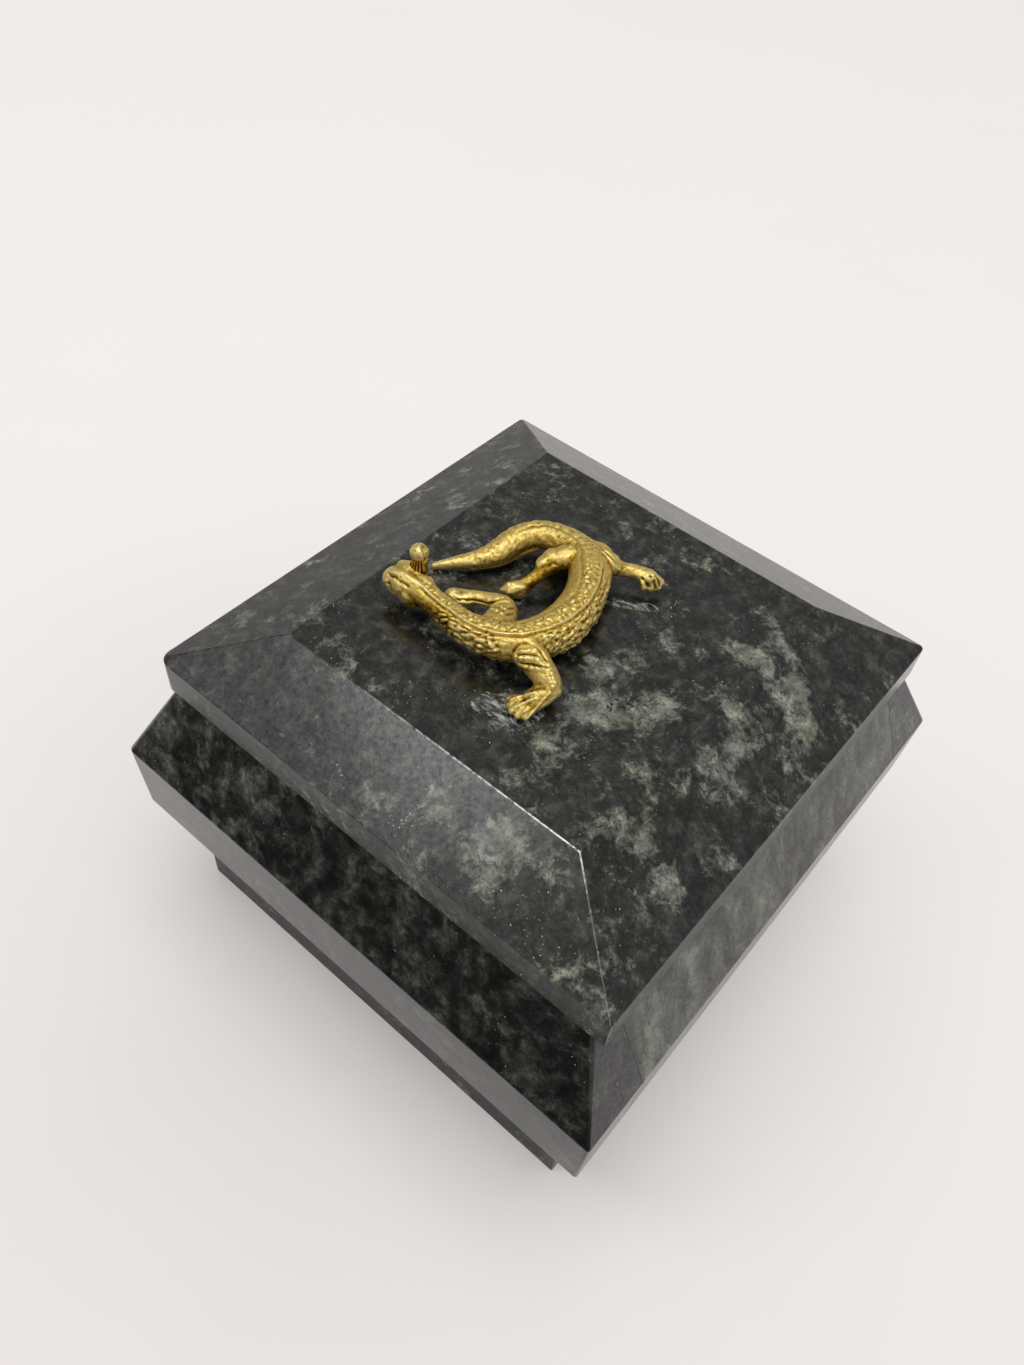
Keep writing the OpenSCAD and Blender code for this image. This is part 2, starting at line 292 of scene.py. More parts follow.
def in_seam(edge):
    """Whether an edge lies along a glue line between two walls."""
    one, two = [v.co.y for v in edge.verts]
    off = min(abs(abs(one) - plane) for plane in (SEAM_INNER, SEAM_OUTER))
    return abs(one - two) < SAME and off < SAME


def stands_at(edge, side, front):
    """Whether an edge is an upright one at the corner that lies to a side along x and to a side along y."""
    one, two = [v.co for v in edge.verts]
    upright = abs(one.z - two.z) > UPRIGHT * edge.calc_length()
    return upright and side * (one.x + two.x) > 0 and front * (one.y + two.y) > 0


def solid_of(node):
    """A merged copy of a CAD node's mesh, in millimetres, with its flat faces whole."""
    bm = bmesh.new()
    bm.from_mesh(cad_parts[node].data)
    bmesh.ops.scale(bm, vec=(1 / MM, 1 / MM, 1 / MM), verts=bm.verts)
    bmesh.ops.remove_doubles(bm, verts=bm.verts, dist=MERGE_NEAR)
    bmesh.ops.dissolve_limit(bm, angle_limit=FLAT_ANGLE, verts=bm.verts, edges=bm.edges)
    return bm


def share_at(place, spots):
    """How much of the spots, each x, y and half width, is felt at a place: 1 at most."""
    return min(1.0, sum(math.exp(-((place.x - x) ** 2 + (place.y - y) ** 2) / r ** 2) for x, y, r in spots))


def mark_lid(bm):
    """Cuts the lid into small faces and marks its larger clouds, swarms of pale grains and rusty flecks."""
    reach = max(abs(c) for v in bm.verts for c in v.co.xy)
    cuts = int(reach / CLOUD_MESH)
    for k in range(-cuts, cuts + 1):
        for side in ((1, 0, 0), (0, 1, 0)):
            bmesh.ops.bisect_plane(
                bm, geom=[*bm.verts, *bm.edges, *bm.faces], dist=CUT_NEAR,
                plane_co=k * CLOUD_MESH * Vector(side), plane_no=side,
            )
    bank = bm.verts.layers.float.new("cloud_bank")
    swarm = bm.verts.layers.float.new("grain_swarm")
    rust = bm.verts.layers.float.new("rusty_flecks")
    for v in bm.verts:
        v[bank] = share_at(v.co, LID_CLOUDS) - CLEARING * share_at(v.co, LID_CLEARINGS)
        v[swarm] = share_at(v.co, LID_SWARMS)
        v[rust] = share_at(v.co, LID_RUST)


def rub_and_highlight(spot):
    """How pale an arris is at a spot: rubbed, and paler with a painted highlight along the given stretches.
    """
    most = ARRIS_WEAR
    for one, two, first, last in HIGHLIGHT_EDGES:
        near, share = intersect_point_line(spot, one, two)
        if 0 <= share <= 1 and (spot - near).length < HIGHLIGHT_REACH:
            most = first + share * (last - first)
    return most


def rub_edges(bm, edges, width, steps):
    """Rounds edges by a width and returns the new faces, shaded smooth."""
    made = bmesh.ops.bevel(
        bm, geom=edges, offset=width, offset_type="OFFSET", affect="EDGES",
        segments=steps, profile=0.5, material=-1, clamp_overlap=True,
    )
    for face in made["faces"]:
        face.smooth = True
    return made["faces"]


def slab(node, body, corners=(), marked=False, thinning=0.0, **look):
    """A stone slab with rubbed arrises and, where given, rounded upright corners, the lid's marks, or clouds
    that thin out towards the right-hand end."""
    bm = solid_of(node)
    arris = bm.faces.layers.float.new("arris")
    for side, front, radius in corners:
        upright = [e for e in bm.edges if stands_at(e, side, front) and not in_seam(e)]
        rub_edges(bm, upright, radius, CORNER_STEPS)
    sharp = [e for e in bm.edges if e.is_manifold and e.calc_face_angle() > SHARP_ANGLE and not in_seam(e)]
    crisp = [e for e in sharp if max(v.co.z for v in e.verts) > FLAT_Z - SAME]
    plain = [e for e in sharp if e not in crisp]
    for edges, width in ((crisp, CRISP_ARRIS), (plain, SLAB_ARRIS)):
        for face in rub_edges(bm, edges, width, ARRIS_STEPS) if edges else []:
            face[arris] = ARRIS_WEAR
    if marked:
        mark_lid(bm)
        for face in bm.faces:
            face[arris] *= rub_and_highlight(face.calc_center_median()) / ARRIS_WEAR
    if thinning:
        bank = bm.verts.layers.float.new("cloud_bank")
        for v in bm.verts:
            v[bank] = -thinning * (0.5 + 0.5 * v.co.x / BODY_HALF)
    stone = new_material(polished_serpentine, "_" + node, **look)
    new_piece("stone_" + node, bm, stone, body, [node])


slab("base_plate", "box", shift=(41, 7, 3), sparse=0.1, gloss=0.15)
slab("wall_front", "box", FRONT_CORNERS, thinning=0.55, shift=(0, 63, 12), turn=(0.3, 0.2, 0.5),
     stretch=(0.85, 0.85, 0.85), sparse=-0.03, soft=1.0, faint=0.6, moss="#e9ebe4")
slab("wall_back", "box", BACK_CORNERS, shift=(87, 20, 55), turn=(0.1, 0.7, 0.2))
slab("wall_left", "box", shift=(11, 90, 31), turn=(0.6, 0.1, 0.9))
slab("wall_right", "box", shift=(23, 31, 77), stretch=(0.5, 0.65, 0.3), sparse=-0.05, gloss=0.45, soft=1.4)
slab("lid_slab", "lid", LID_CORNERS, marked=True, shift=(5, 12, 140), turn=(0, 0, 0.4), sparse=0.055,
     soft=0.35, moss="#e2e8d4")
slab("lid_locating_plate", "lid", shift=(60, 44, 9), turn=(0.2, 0, 0.3))

seam_glue = new_material(dark_set_glue)
new_piece("glue_wall_seams", solid_of("wall_seams"), seam_glue, "box", ["wall_seams"])


# Lizard, in millimetres: x and y from the middle of the lid, heights above its flat top

TRUNK_R = 3.5
NECK_R = 2.0
HEAD_R = 2.7
TIP_R = 0.7
ANKLE_R = 1.2
TRUNK_H = 4.5

# Each point: x, y, height, the radius that counts there, and half width and half height as shares of it
SPINE_POINTS = [
    [-23.5, -15.0, 3.9, HEAD_R, 0.55, 0.40],
    [-22.8, -14.9, 4.1, HEAD_R, 0.70, 0.75],
    [-20.2, -14.4, 4.5, HEAD_R, 1.0, 0.95],
    [-17.5, -14.2, 4.7, HEAD_R, 0.90, 0.85],
    [-14.5, -14.4, 4.6, NECK_R, 1.0, 1.0],
    [-10.0, -14.8, TRUNK_H, NECK_R, 1.10, 1.10],
    [-5.5, -14.8, TRUNK_H, TRUNK_R, 0.75, 0.75],
    [0.0, -12.4, TRUNK_H, TRUNK_R, 0.90, 0.85],
    [2.9, -7.0, TRUNK_H, TRUNK_R, 1.0, 0.95],
    [3.0, -1.4, TRUNK_H, TRUNK_R, 1.0, 0.95],
    [1.4, 3.8, TRUNK_H, TRUNK_R, 0.95, 0.95],
    [-2.0, 9.0, TRUNK_H, TRUNK_R, 1.0, 0.90],
    [-7.5, 10.8, 4.3, TRUNK_R, 0.75, 0.75],
    [-12.5, 9.8, 4.0, TRUNK_R, 0.70, 0.60],
    [-14.9, 6.5, 3.4, TRUNK_R, 0.68, 0.58],
    [-15.7, 2.4, 2.8, TRUNK_R, 0.60, 0.50],
    [-17.5, -0.9, 2.2, TIP_R, 2.2, 1.8],
    [-20.1, -3.6, 1.5, TIP_R, 1.5, 1.3],
    [-22.0, -5.6, 0.9, TIP_R, 1.0, 1.0],
]
SPINE = [[x, y, h, r * wide, r * high] for x, y, h, r, wide, high in SPINE_POINTS]
# Each point: x, y, height, and half width and half height in ankle radii
FRONT_RIGHT_LEG = [
    [1.5, -12.0, 4.9, 2.2, 2.2],
    [5.5, -13.2, 4.4, 1.9, 1.8],
    [8.8, -14.4, 3.4, 1.6, 1.5],
    [8.5, -16.1, 2.5, 1.5, 1.1],
    [7.4, -17.6, 1.6, 1.4, 1.0],
]
FRONT_LEFT_LEG = [
    [-3.6, -12.4, 4.8, 2.4, 1.7],
    [-4.7, -9.6, 4.3, 2.1, 1.4],
    [-6.6, -6.7, 3.4, 1.5, 1.25],
    [-10.2, -7.1, 2.7, 1.05, 0.95],
    [-14.2, -9.0, 2.0, 1.0, 0.95],
]
HIND_RIGHT_LEG = [
    [-2.4, 9.6, 4.8, 2.3, 2.0],
    [-0.4, 11.3, 4.5, 2.0, 1.7],
    [1.6, 12.6, 3.7, 1.15, 1.05],
    [3.2, 13.8, 3.4, 1.05, 0.95],
    [5.2, 14.5, 3.4, 1.2, 0.9],
]
HIND_LEFT_LEG = [
    [-3.6, 9.4, 4.8, 2.0, 1.9],
    [-5.8, 7.0, 4.8, 1.9, 1.6],
    [-6.8, 4.5, 4.0, 1.25, 1.1],
    [-7.3, 2.2, 2.9, 0.92, 0.9],
    [-8.0, 0.0, 2.1, 0.95, 1.0],
]
LEGS = [FRONT_RIGHT_LEG, FRONT_LEFT_LEG, HIND_RIGHT_LEG, HIND_LEFT_LEG]
# Toe tips of each leg's foot
TOES = [
    [[5.0, -18.7, 0.9], [5.8, -19.6, 0.8], [6.7, -20.1, 0.8], [7.9, -20.2, 0.8], [8.9, -19.7, 0.8]],
    [[-15.8, -8.8, 1.0], [-15.7, -9.9, 1.0], [-14.6, -10.6, 1.0]],
    [[7.7, 16.0, 2.3], [7.7, 15.1, 2.0], [7.1, 14.2, 2.0], [6.2, 13.3, 2.3]],
    [[-9.6, -2.6, 1.2], [-7.6, -1.2, 0.9]],
]
# How thick the toes of each foot are
TOE_R = [0.62, 0.62, 0.72, 0.62]
# Lumps that fill out the head, the joints and the feet: place, half sizes, turn about the upright
MUSCLES = [
    [(-22.8, -14.9, 4.0), (1.4, 1.5, 1.5), 0.0],
    [(-20.3, -13.4, 5.3), (2.9, 2.4, 2.0), 0.0],
    [(-18.2, -15.5, 4.0), (2.4, 1.6, 2.0), 0.0],
    [(-18.4, -12.6, 3.9), (2.2, 1.4, 1.9), 0.0],
    [(-17.2, -12.6, 5.5), (1.0, 0.9, 0.9), 0.0],
    [(4.1, -13.9, 5.2), (2.5, 1.7, 1.7), 0.3],
    [(9.4, -14.4, 3.3), (1.2, 1.2, 1.3), 0.0],
    [(10.3, -14.5, 3.2), (0.8, 0.75, 0.8), 0.0],
    [(-6.9, 6.0, 4.7), (2.0, 1.9, 1.6), 0.0],
    [(-7.3, 4.8, 4.3), (1.6, 2.1, 1.4), -0.2],
    [(-2.1, 11.6, 4.9), (2.8, 2.2, 2.0), -0.1],
    [(0.2, 10.9, 4.9), (2.3, 2.2, 1.9), 0.35],
    [(5.7, 14.7, 3.4), (1.7, 1.5, 1.0), 0.3],
    [(6.9, -18.7, 1.1), (2.0, 1.2, 0.8), -0.35],
    [(-14.5, -9.5, 1.9), (1.6, 1.5, 1.4), 0.2],
    [(-12.9, -9.2, 2.0), (1.9, 1.3, 1.4), 0.4],
]
# The hind foot that is cast as a plain faceted wedge: place, half sizes before it is tipped over, turn
HIND_WEDGE = [(-8.5, -1.4, 1.9), (1.8, 1.7, 2.9), 0.82]
# Thin folds, as limbs: down the forearm, inside the tail and over the thigh
FOREARM_EDGE = [
    [10.2, -14.9, 3.3, 0.8, 0.8], [9.9, -16.4, 2.5, 0.7, 0.7], [9.3, -17.9, 1.6, 0.6, 0.6],
    [8.9, -19.2, 0.9, 0.5, 0.5],
]
TAIL_FLANGE = [
    [-11.6, 8.4, 2.6, 0.8, 0.7], [-13.0, 6.5, 2.2, 0.9, 0.7], [-13.9, 4.4, 1.8, 0.9, 0.7],
    [-14.4, 2.4, 1.6, 0.85, 0.6], [-15.6, 0.2, 1.5, 0.7, 0.6], [-17.4, -2.2, 1.3, 0.6, 0.5],
]
THIGH_FOLD = [
    [-2.4, 11.6, 6.3, 0.7, 0.7], [-0.4, 11.2, 6.2, 0.75, 0.75], [0.9, 11.4, 5.5, 0.75, 0.75],
    [2.0, 12.2, 4.2, 0.6, 0.6],
]
CREST_AT = [-19.4, -12.1, 6.4]
CREST_H = 4.85
CREST_R = 1.6
BALL_HALF = 0.85 * CREST_R
STALK_R = 1.25
STALK_SUNK = 0.9
# Ways that the grooves of the crest's ball and of its stalk face, in degrees from +X, and the points along
# each: degrees up round the ball, and millimetres up the stalk; then their height and half width
BALL_GROOVES = [-14, 4, 22, 40, 58, 76, 94]
STALK_GROOVES = [-130, -106, -82, -58, -34]
BALL_TILTS = [75, 45, 15, -15, -40]
STALK_RISES = [0.0, 0.8, 1.6, 2.4]
CREST_GROOVE = [-0.36, 0.16]

# Chased lines and rows of lumps: points on the casting's skin
BACK_RIDGE = [
    [-16.1, -14.9, 6.7], [-13.1, -15.2, 6.5], [-10.9, -15.4, 6.5], [-8.4, -15.6, 6.8], [-6.0, -15.7, 6.9],
    [-3.9, -15.4, 7.0], [-1.9, -14.7, 7.1], [0.7, -13.0, 7.3], [2.6, -10.6, 7.5], [3.9, -7.9, 7.6],
    [4.5, -5.5, 7.6], [4.7, -2.6, 7.5], [4.5, 0.0, 7.4], [3.8, 2.4, 7.4], [2.7, 5.1, 7.3], [1.6, 6.9, 7.4],
]
BACK_GROOVE = [
    [1.1, -8.4, 7.4], [1.4, -6.0, 7.4], [2.0, -3.2, 7.6], [2.1, 0.0, 7.8], [0.9, 2.7, 7.7], [-0.8, 5.1, 7.5],
    [-2.7, 7.2, 7.2], [-4.6, 9.2, 7.2], [-6.2, 10.1, 7.1], [-8.5, 10.4, 6.7], [-10.6, 10.3, 6.4],
    [-12.3, 9.8, 6.1], [-13.9, 7.9, 5.8], [-15.0, 5.8, 5.4],
]
# Stretches of the spine, counted in its points: first, last, how softly they end
RIDGE_RUN = (3.6, 10.4, 0.4)
GROOVE_RUN = (8.2, 13.2, 0.8)
NECK_RUN = (4.9, 6.4, 0.6)
FLANK_RUN = (7.8, 10.2, 0.4)
TAIL_RUN = (11.4, 16.0, 0.6)
# Each line: points, height (negative is cut in), half width
HEAD_LINES = [
    [[[-22.8, -15.4, 6.0], [-21.0, -15.2, 6.9], [-19.3, -15.0, 7.2], [-16.1, -14.9, 6.9]], 0.22, 0.55],
    [[[-22.4, -15.8, 5.9], [-21.6, -16.1, 6.1], [-20.9, -16.0, 6.4], [-20.3, -16.1, 6.3]], -0.36, 0.20],
    [[[-19.8, -16.2, 6.3], [-18.8, -16.0, 6.3], [-18.2, -16.1, 6.3]], -0.36, 0.22],
    [[[-23.9, -15.7, 3.7], [-22.6, -16.5, 3.5], [-21.6, -16.8, 3.4], [-20.5, -16.9, 3.4]], -0.50, 0.34],
    [[[-21.5, -16.9, 5.2], [-21.0, -17.0, 4.5], [-20.8, -17.0, 3.8]], -0.26, 0.26],
    [[[-17.4, -16.6, 5.2], [-16.9, -16.6, 4.2], [-17.2, -16.8, 3.2]], -0.14, 0.60],
]
LEG_LINES = [
    [[[2.0, -14.7, 4.4], [1.9, -14.7, 5.9], [2.1, -14.0, 6.8], [2.9, -13.1, 7.2], [3.9, -12.6, 7.3],
      [5.5, -12.6, 6.6], [6.6, -12.9, 6.2]], -0.30, 0.20],
    [[[3.0, -15.2, 6.2], [4.0, -14.5, 6.8], [5.4, -13.5, 6.8]], -0.36, 0.20],
    [[[4.0, -15.7, 5.4], [5.7, -14.8, 5.9], [7.0, -14.2, 6.1], [7.8, -13.7, 6.2]], -0.40, 0.20],
    [[[8.0, -17.0, 3.4], [6.2, -18.4, 2.1], [5.5, -19.1, 1.5]], 0.20, 0.20],
    [[[8.7, -17.5, 3.1], [7.4, -19.2, 2.0], [6.7, -20.4, 0.9]], 0.20, 0.20],
    [[[8.9, -18.6, 2.2], [8.5, -19.5, 1.6], [7.8, -20.3, 0.5]], 0.20, 0.20],
    [[[10.0, -15.9, 4.0], [9.7, -17.2, 2.9], [9.5, -18.6, 1.8], [9.2, -19.7, 0.8]], 0.28, 0.18],
    [[[7.8, -17.8, 2.8], [6.5, -19.4, 1.6]], -0.24, 0.18],
    [[[8.4, -18.3, 2.4], [7.5, -19.8, 1.2]], -0.24, 0.18],
    [[[7.0, -16.8, 3.2], [8.0, -16.4, 3.8], [9.0, -16.0, 4.2]], -0.22, 0.22],
    [[[-0.8, 10.5, 7.2], [0.7, 10.4, 6.6], [1.9, 10.3, 6.0], [2.4, 11.1, 5.0]], 0.24, 0.26],
    [[[-0.5, 11.0, 7.0], [1.0, 10.9, 6.4], [2.1, 10.9, 5.5]], -0.26, 0.24],
    [[[5.6, 13.3, 3.7], [6.6, 13.4, 3.1], [7.1, 13.6, 2.6]], -0.36, 0.20],
    [[[6.6, 14.3, 4.2], [7.4, 14.5, 3.1], [7.9, 14.4, 2.1]], -0.36, 0.20],
    [[[7.0, 15.3, 3.8], [7.8, 15.3, 3.0], [8.3, 15.1, 2.3]], -0.36, 0.20],
    [[[-4.2, 10.4, 7.2], [-3.2, 12.4, 6.5], [-1.2, 12.6, 6.3], [0.8, 12.4, 5.4]], -0.22, 0.22],
    [[[-7.1, 3.1, 4.8], [-6.4, 3.7, 5.0], [-5.8, 4.5, 5.5]], -0.12, 0.40],
    [[[-8.7, -8.1, 3.2], [-7.7, -7.5, 4.3], [-6.9, -6.5, 4.8]], -0.34, 0.24],
    [[[-6.9, -9.2, 5.0], [-6.4, -7.9, 5.2], [-5.5, -6.8, 5.2]], 0.22, 0.32],
    [[[-4.0, -6.9, 4.8], [-4.4, -8.3, 5.6], [-4.5, -9.5, 6.0]], -0.18, 0.30],
    [[[-3.2, -8.3, 5.3], [-3.4, -9.9, 6.1]], -0.18, 0.30],
    [[[-13.7, -8.6, 2.8], [-13.3, -9.2, 3.3], [-12.5, -10.0, 3.0]], -0.12, 0.40],
    [[[-13.0, -10.3, 2.8], [-11.6, -9.2, 2.9], [-10.6, -8.5, 2.8], [-9.0, -8.1, 3.1]], -0.32, 0.20],
    [[[-1.8, -15.2, 6.7], [-1.2, -15.6, 6.2], [-0.2, -15.5, 5.7]], -0.32, 0.20],
    [[[-2.4, -15.6, 6.8], [-1.5, -16.2, 6.0], [-0.4, -16.2, 5.3]], 0.26, 0.26],
]
# Each row: first and last lump on the skin, how many, height, half width
LUMP_ROWS = [
    [[3.2, -14.5, 6.7], [4.6, -12.9, 6.8], 3, 0.26, 0.40],
    [[3.6, -15.3, 6.2], [5.9, -13.9, 6.6], 4, 0.30, 0.40],
    [[4.8, -15.5, 5.3], [8.0, -13.9, 6.0], 5, 0.30, 0.40],
    [[7.4, -13.2, 6.0], [9.8, -14.5, 4.9], 5, 0.26, 0.32],
    [[8.4, -14.5, 5.5], [9.9, -15.1, 4.6], 4, 0.24, 0.30],
    [[-6.0, -10.4, 5.8], [-4.1, -10.4, 6.3], 3, 0.28, 0.34],
    [[-6.1, -9.0, 5.5], [-4.6, -8.9, 5.8], 3, 0.26, 0.32],
    [[-21.6, -16.9, 4.9], [-21.6, -16.9, 4.9], 1, -0.34, 0.26],
    [[-22.2, -16.6, 5.1], [-21.9, -16.7, 4.5], 2, 0.22, 0.34],
    [[-19.8, -17.0, 5.0], [-18.2, -16.9, 4.8], 2, 0.10, 0.60],
]

# Painted shade: along the side of the throat, and under the thigh and along the shank of the inner hind leg
NECK_SHADE = [
    [-16.6, -16.0, 4.0], [-14.6, -16.2, 4.4], [-12.4, -16.5, 5.0], [-10.4, -16.9, 4.9], [-9.0, -17.1, 4.3],
]
SHANK_SHADE = [[-4.6, 5.2, 4.6], [-6.2, 3.4, 4.1], [-7.0, 1.8, 3.3], [-7.0, 0.3, 2.5]]
SHADE_R = 1.3
# How brown a plain place is, and how much more for each millimetre below its neighbours and on the crest's
# stalk, as patina; then the painted shade along the shade lines, on the undersides and next to the stone
PLAIN_BROWN = 0.40
HOLLOW_BROWN = 3.4
SHADE_BROWN = 0.42
STALK_BROWN = 0.35
UNDER_PAINTED_SHADE = 0.4
LOW_PAINTED_SHADE = 0.25
# Unevenness of the whole casting: size, height, and which of the three directions of the noise
CAST_UNEVEN = [(2.1, 0.06, 0), (0.7, 0.05, 1), (0.4, 0.04, 0)]

LIMB_STEPS = 5
FOLD_STEPS = 4
TRUNK_SIDES = 28
LEG_SIDES = 20
FOLD_SIDES = 12
CAST_VOXEL = 0.17
CAST_SMOOTHINGS = 6
# How often the skin is smoothed to find its hollows
LAY_SMOOTHINGS = 12
# Chance unevenness and chance scales start from these numbers, so that each run gives the same casting
SKIN_SEED = 3
SCALE_SEED = 11
SCALE_TABLE = 64
# The head's lines are the same on both sides of this y
HEAD_MIDDLE = -14.1
# How far round a line its distance is worked out, and what stands for farther off
LINE_REACH = 1.5
FAR = 9.0


def smoothstep(low, high, value):
    """0 below low, 1 above high, and a soft step between."""
    share = np.clip((value - low) / (high - low), 0, 1)
    return share * share * (3 - 2 * share)


def route(points, steps):
    """A smooth run of rows through the points."""
    p = np.array(points, float)
    last = len(p) - 1
    rows = []
    for i in range(last):
        a, b, c, d = p[max(i - 1, 0)], p[i], p[i + 1], p[min(i + 2, last)]
        for k in range(steps):
            t = k / steps
            rows.append(0.5 * (
                2 * b + (c - a) * t + (2 * a - 5 * b + 4 * c - d) * t ** 2 + (3 * b - a - 3 * c + d) * t ** 3
            ))
    rows.append(p[last])
    return np.array(rows)


def headings(rows):
    """Heading, outer side and upper side of each row of a route."""
    ahead = np.gradient(rows[:, :3], axis=0)
    ahead /= np.linalg.norm(ahead, axis=1)[:, None]
    side = np.cross(ahead, (0.0, 0.0, 1.0))
    side /= np.linalg.norm(side, axis=1)[:, None]
    return ahead, side, np.cross(side, ahead)


def limb(bm, rows, sides):
    """A closed limb along a route: rings square to it, bridged one by one and closed at both ends."""
    ahead, side, up = headings(rows)
    rings = []
    for row, t, s, u in zip(rows, ahead, side, up):
        axes = np.column_stack([s * row[3], u * row[4], t, row[:3]])
        matrix = Matrix([*axes.tolist(), [0, 0, 0, 1]])
        made = bmesh.ops.create_circle(bm, segments=sides, radius=1.0, matrix=matrix)
        rings.append(list(dict.fromkeys(e for v in made["verts"] for e in v.link_edges)))
    for one, two in zip(rings, rings[1:]):
        bmesh.ops.bridge_loops(bm, edges=one + two)
    bmesh.ops.edgeloop_fill(bm, edges=rings[0] + rings[-1])


def lump(bm, at, size, turn=(0, 0, 0), fineness=3):
    """A lump of three half sizes, rounded or faceted."""
    matrix = Matrix.Translation(at) @ Euler(turn).to_matrix().to_4x4() @ Matrix.Diagonal((*size, 1))
    bmesh.ops.create_icosphere(bm, subdivisions=fineness, radius=1.0, matrix=matrix)


def foot(bm, leg, tips, thick):
    """Toes from the end of a leg to their tips, arched a little."""
    root = np.array(leg[-1][:3])
    for tip in np.array(tips):
        knuckle = 0.5 * (root + tip) + (0, 0, 0.5 * thick)
        rows = [[*at, r, r] for at, r in ((root, 1.35 * thick), (knuckle, 1.2 * thick), (tip, thick))]
        limb(bm, route(rows, FOLD_STEPS), FOLD_SIDES)
        lump(bm, tip, (thick, thick, thick))


def crest(bm):
    """A ball on a narrower stalk; their grooves are cut later."""
    at = Vector(CREST_AT)
    lump(bm, at + Vector((0, 0, CREST_H - BALL_HALF)), (CREST_R, CREST_R, BALL_HALF))
    bmesh.ops.create_cone(
        bm, cap_ends=True, segments=24, radius1=1.1 * STALK_R, radius2=0.9 * STALK_R, depth=CREST_H,
        matrix=Matrix.Translation(at + Vector((0, 0, 0.5 * CREST_H - STALK_SUNK))),
    )


def facing(degrees):
    """The level way at an angle from +X."""
    return np.array([math.cos(math.radians(degrees)), math.sin(math.radians(degrees)), 0])


def crest_grooves():
    """Lines for the grooves of the crest: over the ball, and up its stalk."""
    at = np.array(CREST_AT)
    ball = at + (0, 0, CREST_H - BALL_HALF)
    lines = []
    for way in BALL_GROOVES:
        lines.append([
            ball + math.cos(tilt) * CREST_R * facing(way) + (0, 0, math.sin(tilt) * BALL_HALF)
            for tilt in np.radians(BALL_TILTS)
        ])
    for way in STALK_GROOVES:
        lines.append([at + STALK_R * facing(way) + (0, 0, rise) for rise in STALK_RISES])
    return lines


def cast_form():
    """The lizard's limbs and lumps, run together as one casting."""
    bm = bmesh.new()
    limb(bm, route(SPINE, LIMB_STEPS), TRUNK_SIDES)
    lump(bm, SPINE[-1][:3], (TIP_R, TIP_R, TIP_R))
    for leg, tips, thick in zip(LEGS, TOES, TOE_R):
        limb(bm, route(np.array(leg) * (1, 1, 1, ANKLE_R, ANKLE_R), LIMB_STEPS), LEG_SIDES)
        foot(bm, leg, tips, thick)
    for at, size, turn in MUSCLES:
        lump(bm, at, size, (0, 0, turn))
    at, size, turn = HIND_WEDGE
    lump(bm, at, size, (0, math.pi / 2, turn), 1)
    for fold in (FOREARM_EDGE, TAIL_FLANGE, THIGH_FOLD):
        limb(bm, route(fold, FOLD_STEPS), FOLD_SIDES)
    crest(bm)
    bmesh.ops.recalc_face_normals(bm, faces=bm.faces)
    form = new_object("cast_form", bm)
    skin = form.modifiers.new("skin", "REMESH")
    skin.mode = "VOXEL"
    skin.voxel_size = CAST_VOXEL
    bpy.context.view_layer.update()
    whole = bpy.data.meshes.new_from_object(form.evaluated_get(bpy.context.evaluated_depsgraph_get()))
    bpy.data.objects.remove(form)
    bm = bmesh.new()
    bm.from_mesh(whole)
    for _ in range(CAST_SMOOTHINGS):
        bmesh.ops.smooth_vert(
            bm, verts=bm.verts, factor=0.5, use_axis_x=True, use_axis_y=True, use_axis_z=True,
        )
    return bm


def cut_off(bm, height):
    """Cuts away what lies below a height, closes the cut and shades the rest smooth."""
    bmesh.ops.bisect_plane(
        bm, geom=[*bm.verts, *bm.edges, *bm.faces], dist=CUT_NEAR,
        plane_co=(0, 0, height), plane_no=(0, 0, 1), clear_inner=True,
    )
    bmesh.ops.holes_fill(bm, edges=[e for e in bm.edges if e.is_boundary], sides=0)
    for face in bm.faces:
        face.smooth = True


def cast_brass(draw, coords):
    """Sand-cast brass, tumbled and rubbed: satin gold on the high places, brown where no cloth reaches and
    where shade is painted.
    """
    patina_and_shade = draw("Attribute", attribute_name="patina_and_shade").outputs["Fac"]
    # Noise of 0.9 mm for soil, 0.5 mm for casting pores that hold dirt, and 0.4 mm for the sand's grit
    soiled, pitted, grit = [
        draw("TexNoise", {
            "Vector": coords, "Scale": 1 / (size * MM), "Detail": detail, "Roughness": tooth,
        }) for size, detail, tooth in ((0.9, 4.0, 0.6), (0.5, 2.0, 0.6), (0.4, 4.0, 0.65))
    ]
    soil = draw("Math", {0: soiled, 1: 0.3, 2: -0.15}, operation="MULTIPLY_ADD")
    # Patina in the hollows and painted shade, both from the attribute, with soil added
    soiled_patina_and_shade = draw("Math", {0: patina_and_shade, 1: soil}, operation="ADD")
    pores = draw("MapRange", {"Value": pitted}, span=(0.58, 0.70, 0.0, 0.4))
    depth = draw("Math", {0: soiled_patina_and_shade, 1: pores}, operation="ADD")
    tone = draw("ValToRGB", {"Fac": depth}, stops=[
        (0.08, "#eedb95"), (0.40, "#d9bc62"), (0.66, "#a37d22"), (1.00, "#452a04"),
    ])
    rough = draw("MapRange", {"Value": depth}, span=(0.1, 0.9, 0.42, 0.60))
    bump = draw("Bump", {"Height": grit, "Strength": 0.7, "Distance": 0.13 * MM})
    return draw("BsdfPrincipled", {"Base Color": tone, "Metallic": 1.0, "Roughness": rough, "Normal": bump})


def skin_of(bm):
    """Place and normal of each vertex."""
    bm.normal_update()
    return np.array([v.co for v in bm.verts]), np.array([v.normal for v in bm.verts])


def neighbour_mean(values, pairs, count):
    """Mean of each vertex's neighbours."""
    total = np.zeros_like(values)
    np.add.at(total, pairs[:, 0], values[pairs[:, 1]])
    np.add.at(total, pairs[:, 1], values[pairs[:, 0]])
    return total / count[:, None]


